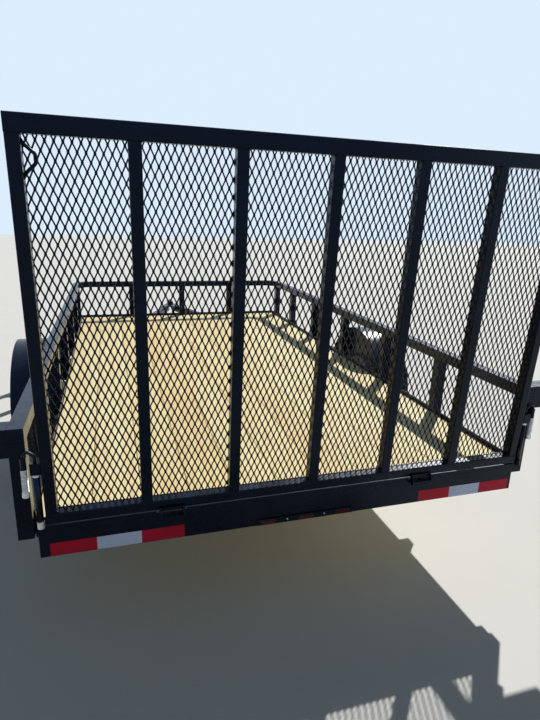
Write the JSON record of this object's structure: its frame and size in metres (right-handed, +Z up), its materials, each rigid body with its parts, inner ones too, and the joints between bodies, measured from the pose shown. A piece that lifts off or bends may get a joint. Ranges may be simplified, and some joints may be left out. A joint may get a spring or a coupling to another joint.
{
  "type": "utility trailer",
  "caption": "Single-axle utility trailer with a plank deck, an open side rail, a mesh ramp gate that lowers at the rear, an A-frame tongue and a jack.",
  "frame": {"origin": "middle of the footprint at ground level", "axes": "+X to the right looking forward, +Y forward towards the coupler, +Z up"},
  "size_m": [2.54, 4.9722, 1.7926],
  "materials": {
    "black_paint": "gloss black paint",
    "pine": "sawn pine",
    "zinc": "zinc plate",
    "rubber": "matt",
    "wheel_steel": "silver paint",
    "red_lens": "clear red lens"
  },
  "bodies": {
    "chassis": {"axle": "black_paint", "coupler": "black_paint", "coupler_lever": "black_paint", "crossmembers": "black_paint", "deck_boards": "pine", "deck_end_board": "pine", "fender_left": "black_paint", "fender_right": "black_paint", "front_sill": "black_paint", "hinge_barrels": "black_paint", "id_lamps": "red_lens", "id_light_bar": "black_paint", "jack_crank": "zinc", "jack_tube": "black_paint", "latch_rods": "zinc", "latch_sleeves": "black_paint", "leaf_springs": "black_paint", "light_boxes": "black_paint", "rail_front": "black_paint", "rail_left": "black_paint", "rail_right": "black_paint", "rail_posts_front": "black_paint", "rail_posts_left": "black_paint", "rail_posts_right": "black_paint", "rear_posts": "black_paint", "rear_sill": "black_paint", "side_sill_left": "black_paint", "side_sill_right": "black_paint", "spring_hangers": "black_paint", "tail_lamps": "red_lens", "tongue_leg_left": "black_paint", "tongue_leg_right": "black_paint"},
    "wheel_left": {"hub_left": "zinc", "rim_left": "wheel_steel", "tyre_left": "rubber"},
    "wheel_right": {"hub_right": "zinc", "rim_right": "wheel_steel", "tyre_right": "rubber"},
    "ramp_gate": {"gate_frame": "black_paint", "gate_uprights": "black_paint", "gate_hinge_lugs": "black_paint", "latch_keepers": "black_paint"},
    "jack_foot": {"jack_leg": "zinc"}
  },
  "joints": [
    {"name": "wheel_left_spin", "type": "hinge", "parent": "chassis", "child": "wheel_left", "pos_m": [-1.1575, -0.676, 0.344], "axis": [-1, 0, 0], "continuous": true},
    {"name": "wheel_right_spin", "type": "hinge", "parent": "chassis", "child": "wheel_right", "pos_m": [1.1575, -0.676, 0.344], "axis": [-1, 0, 0], "continuous": true},
    {"name": "ramp_gate_hinge", "type": "hinge", "parent": "chassis", "child": "ramp_gate", "pos_m": [0, -2.43, 0.5], "axis": [1, 0, 0], "range_deg": [0, 109]},
    {"name": "jack_foot_slide", "type": "slide", "parent": "chassis", "child": "jack_foot", "axis": [0, 0, 1], "range_m": [0, 0.25]}
  ]
}
